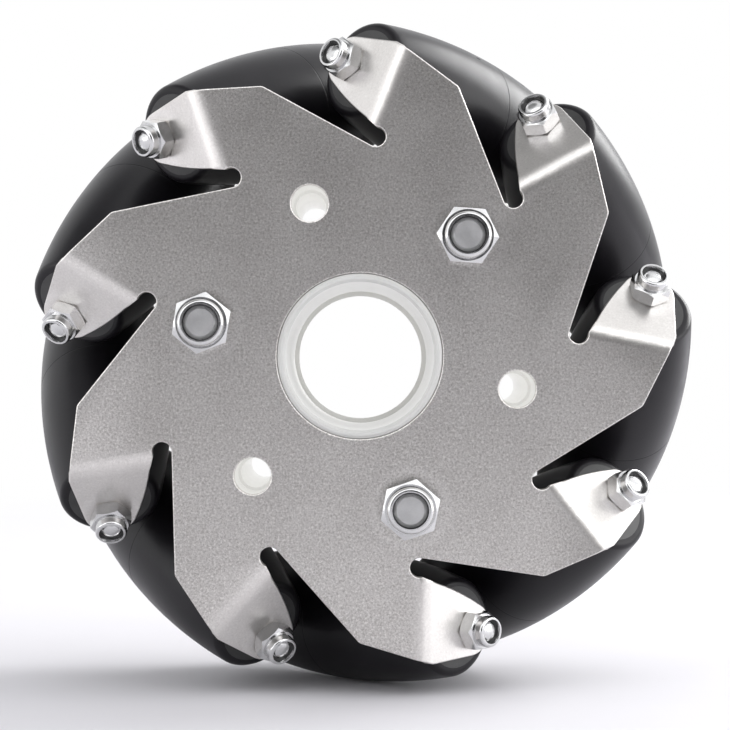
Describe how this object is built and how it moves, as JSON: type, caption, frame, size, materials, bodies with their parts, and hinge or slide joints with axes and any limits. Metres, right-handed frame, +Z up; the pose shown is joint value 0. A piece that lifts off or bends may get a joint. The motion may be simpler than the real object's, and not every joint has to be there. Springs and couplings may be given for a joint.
{
  "type": "mecanum wheel",
  "caption": "Omnidirectional drive wheel: barrel rollers on slanted axles between two folded steel plates, on a nylon hub with a central bore.",
  "frame": {"origin": "the wheel's centre, on its axis midway between the two side plates", "axes": "+Y along the wheel's axis towards the rear plate, +Z up, the front plate faces -Y"},
  "size_m": [0.1016, 0.0604, 0.1016],
  "materials": {
    "zinc_plate": "zinc plated sheet steel, fine speckled satin",
    "zinc_fastener": "bright zinc plated steel",
    "white_nylon": "milky white nylon",
    "black_rubber": "matte black moulded rubber",
    "grey_nylon": "dark grey moulded nylon",
    "bronze": "sintered bronze, satin",
    "insert_nylon": "dark nylon lock insert"
  },
  "bodies": {
    "wheel_frame": {"front_plate": "zinc_plate", "rear_plate": "zinc_plate", "hub_spacer": "white_nylon", "axle_nuts": "zinc_fastener", "axle_nut_inserts": "insert_nylon", "axle_washers": "zinc_fastener", "hub_bolts": "zinc_fastener", "hub_nuts": "zinc_fastener", "hub_nut_inserts": "insert_nylon", "axle_screw_1": "zinc_fastener", "axle_screw_2": "zinc_fastener", "axle_screw_3": "zinc_fastener", "axle_screw_4": "zinc_fastener", "axle_screw_5": "zinc_fastener", "axle_screw_6": "zinc_fastener", "axle_screw_7": "zinc_fastener", "axle_screw_8": "zinc_fastener", "axle_screw_9": "zinc_fastener"},
    "roller_1": {"roller_tread_1": "black_rubber", "roller_core_1": "grey_nylon", "roller_bushes_1": "bronze"},
    "roller_2": {"roller_tread_2": "black_rubber", "roller_core_2": "grey_nylon", "roller_bushes_2": "bronze"},
    "roller_3": {"roller_tread_3": "black_rubber", "roller_core_3": "grey_nylon", "roller_bushes_3": "bronze"},
    "roller_4": {"roller_tread_4": "black_rubber", "roller_core_4": "grey_nylon", "roller_bushes_4": "bronze"},
    "roller_5": {"roller_tread_5": "black_rubber", "roller_core_5": "grey_nylon", "roller_bushes_5": "bronze"},
    "roller_6": {"roller_tread_6": "black_rubber", "roller_core_6": "grey_nylon", "roller_bushes_6": "bronze"},
    "roller_7": {"roller_tread_7": "black_rubber", "roller_core_7": "grey_nylon", "roller_bushes_7": "bronze"},
    "roller_8": {"roller_tread_8": "black_rubber", "roller_core_8": "grey_nylon", "roller_bushes_8": "bronze"},
    "roller_9": {"roller_tread_9": "black_rubber", "roller_core_9": "grey_nylon", "roller_bushes_9": "bronze"}
  },
  "joints": [
    {"name": "roller_1_spin", "type": "hinge", "parent": "wheel_frame", "child": "roller_1", "pos_m": [-0.01268, 0, 0.03857], "axis": [-0.6717, -0.7071, -0.2209], "continuous": true},
    {"name": "roller_2_spin", "type": "hinge", "parent": "wheel_frame", "child": "roller_2", "pos_m": [-0.03451, 0, 0.02139], "axis": [-0.3726, -0.7071, -0.601], "continuous": true},
    {"name": "roller_3_spin", "type": "hinge", "parent": "wheel_frame", "child": "roller_3", "pos_m": [-0.04018, 0, -0.00579], "axis": [0.1009, -0.7071, -0.6999], "continuous": true},
    {"name": "roller_4_spin", "type": "hinge", "parent": "wheel_frame", "child": "roller_4", "pos_m": [-0.02706, 0, -0.03027], "axis": [0.5271, -0.7071, -0.4713], "continuous": true},
    {"name": "roller_5_spin", "type": "hinge", "parent": "wheel_frame", "child": "roller_5", "pos_m": [-0.00128, 0, -0.04058], "axis": [0.7068, -0.7071, -0.0222], "continuous": true},
    {"name": "roller_6_spin", "type": "hinge", "parent": "wheel_frame", "child": "roller_6", "pos_m": [0.02511, 0, -0.03191], "axis": [0.5557, -0.7071, 0.4373], "continuous": true},
    {"name": "roller_7_spin", "type": "hinge", "parent": "wheel_frame", "child": "roller_7", "pos_m": [0.03974, 0, -0.0083], "axis": [0.1446, -0.7071, 0.6922], "continuous": true},
    {"name": "roller_8_spin", "type": "hinge", "parent": "wheel_frame", "child": "roller_8", "pos_m": [0.03578, 0, 0.01919], "axis": [-0.3341, -0.7071, 0.6232], "continuous": true},
    {"name": "roller_9_spin", "type": "hinge", "parent": "wheel_frame", "child": "roller_9", "pos_m": [0.01508, 0, 0.0377], "axis": [-0.6565, -0.7071, 0.2626], "continuous": true}
  ]
}
